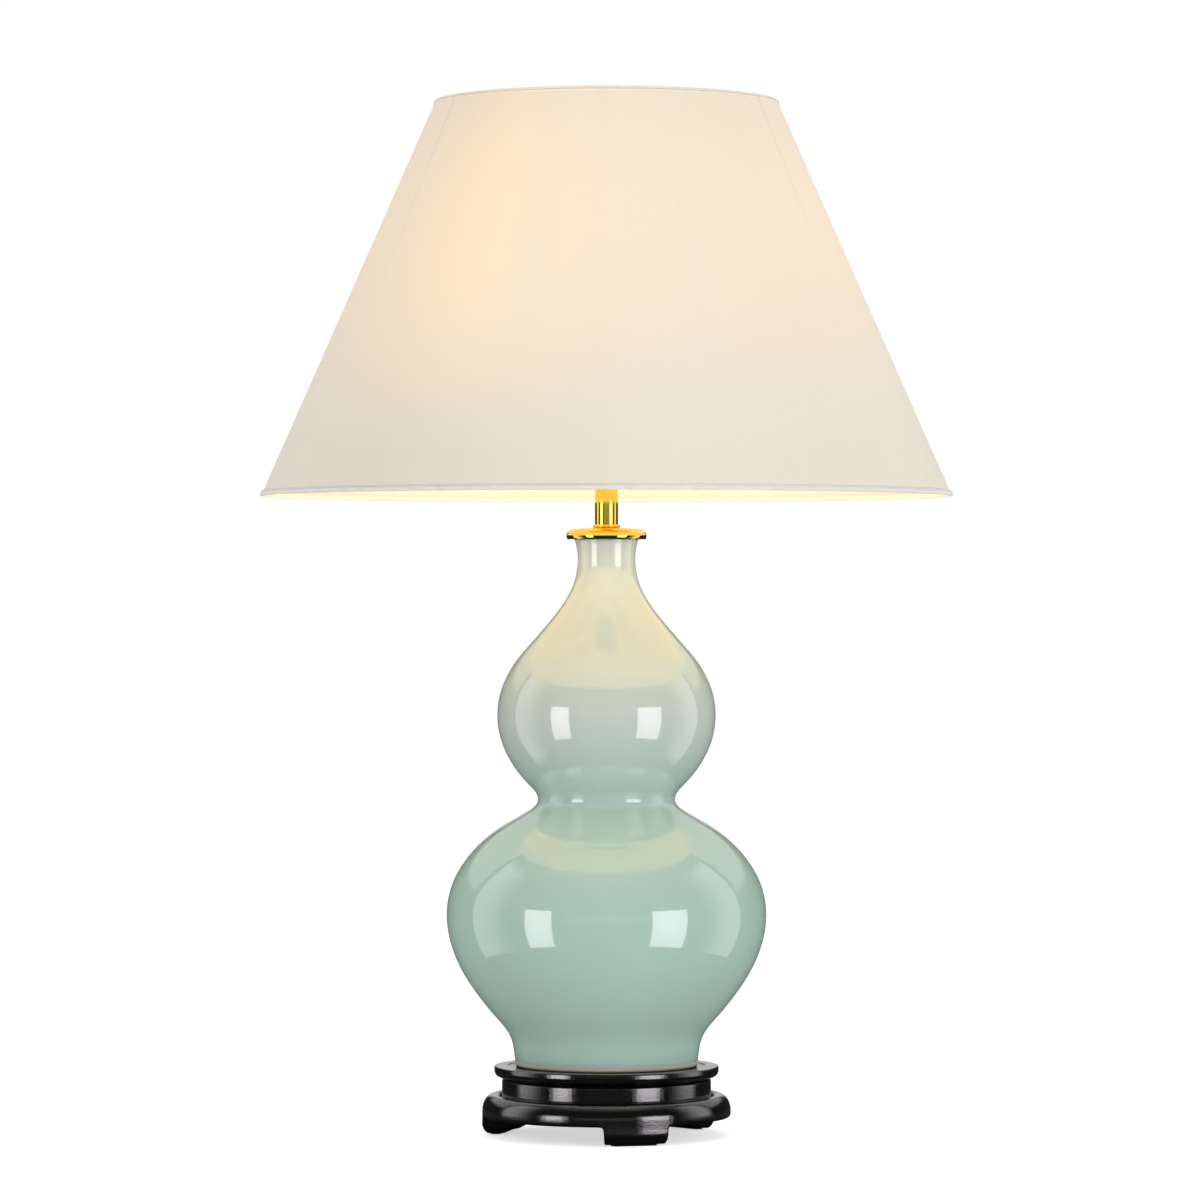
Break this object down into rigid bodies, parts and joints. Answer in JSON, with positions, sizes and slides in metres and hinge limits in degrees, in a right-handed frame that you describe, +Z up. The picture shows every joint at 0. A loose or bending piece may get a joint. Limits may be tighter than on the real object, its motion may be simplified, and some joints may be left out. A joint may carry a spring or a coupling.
{
  "type": "table lamp",
  "caption": "Table lamp: a double gourd celadon vase on a black lacquered stand with feet, a brass cap and stem, a switched lampholder and a tapered fabric shade.",
  "frame": {"origin": "on the floor, on the lamp's axis", "axes": "+Z up, +Y towards the back, +X to the right"},
  "size_m": [0.4799, 0.48, 0.717],
  "materials": {
    "black_lacquer": "gloss lacquer",
    "pad_rubber": "matte",
    "seat_rubber": "matte",
    "celadon_glaze": "gloss glaze",
    "plain_wood": "bare",
    "zinc_steel": "zinc plated",
    "black_plastic": "satin",
    "polished_brass": "polished",
    "white_porcelain": "satin",
    "contact_brass": "plain",
    "linen": "fine slub weave",
    "linen_hem": "fine slub weave",
    "shade_liner": "translucent",
    "frame_white": "powder coat",
    "bulb_glass": "frosted",
    "bulb_metal": "plain",
    "bulb_black": "black glass",
    "bulb_mount": "clear"
  },
  "bodies": {
    "lamp_base": {"foot_pads": "pad_rubber", "stand_apron": "black_lacquer", "stand_collar": "black_lacquer", "stand_tray": "black_lacquer", "vase_seat_ring": "seat_rubber", "vase": "celadon_glaze", "neck_plug": "plain_wood", "threaded_rod": "zinc_steel", "base_washer": "zinc_steel", "lock_washer": "zinc_steel", "base_nut": "zinc_steel", "cable_bushing": "black_plastic", "vase_cap": "polished_brass", "stem_collet": "polished_brass", "stem_tube": "polished_brass", "jam_nut": "polished_brass", "holder_cap": "polished_brass", "holder_skirt": "polished_brass", "holder_core": "white_porcelain", "screw_socket": "contact_brass", "centre_contact": "contact_brass", "terminal_screws": "contact_brass", "switch_block": "black_plastic"},
    "height_ring": {"shade_ring_lower": "polished_brass"},
    "shade": {"shade_fabric": "linen", "shade_liner": "shade_liner", "bottom_hem": "linen_hem", "top_hem": "linen_hem", "bottom_wire_hoop": "frame_white", "top_wire_hoop": "frame_white", "carrier_ring": "frame_white", "arms": "frame_white"},
    "clamp_ring": {"shade_ring_upper": "polished_brass"},
    "bulb": {"bulb_glass": "bulb_glass", "bulb_screw": "bulb_metal", "bulb_insulator": "bulb_black", "bulb_tip": "bulb_metal", "bulb_filament": "bulb_mount"},
    "switch": {"switch_bar": "polished_brass"}
  },
  "joints": [
    {"name": "shade_height", "type": "slide", "parent": "lamp_base", "child": "height_ring", "axis": [0, 0, 1], "range_m": [-0.0025, 0.006]},
    {"name": "shade_swivel", "type": "hinge", "parent": "height_ring", "child": "shade", "pos_m": [0, 0, 0.5562], "axis": [0, 0, 1], "continuous": true},
    {"name": "clamp_ring_unscrew", "type": "slide", "parent": "height_ring", "child": "clamp_ring", "axis": [0, 0, 1], "range_m": [0, 0.012]},
    {"name": "bulb_unscrew", "type": "slide", "parent": "lamp_base", "child": "bulb", "axis": [0, 0, 1], "range_m": [0, 0.165]},
    {"name": "switch_push", "type": "slide", "parent": "lamp_base", "child": "switch", "axis": [1, 0, 0], "range_m": [0, 0.006]}
  ]
}
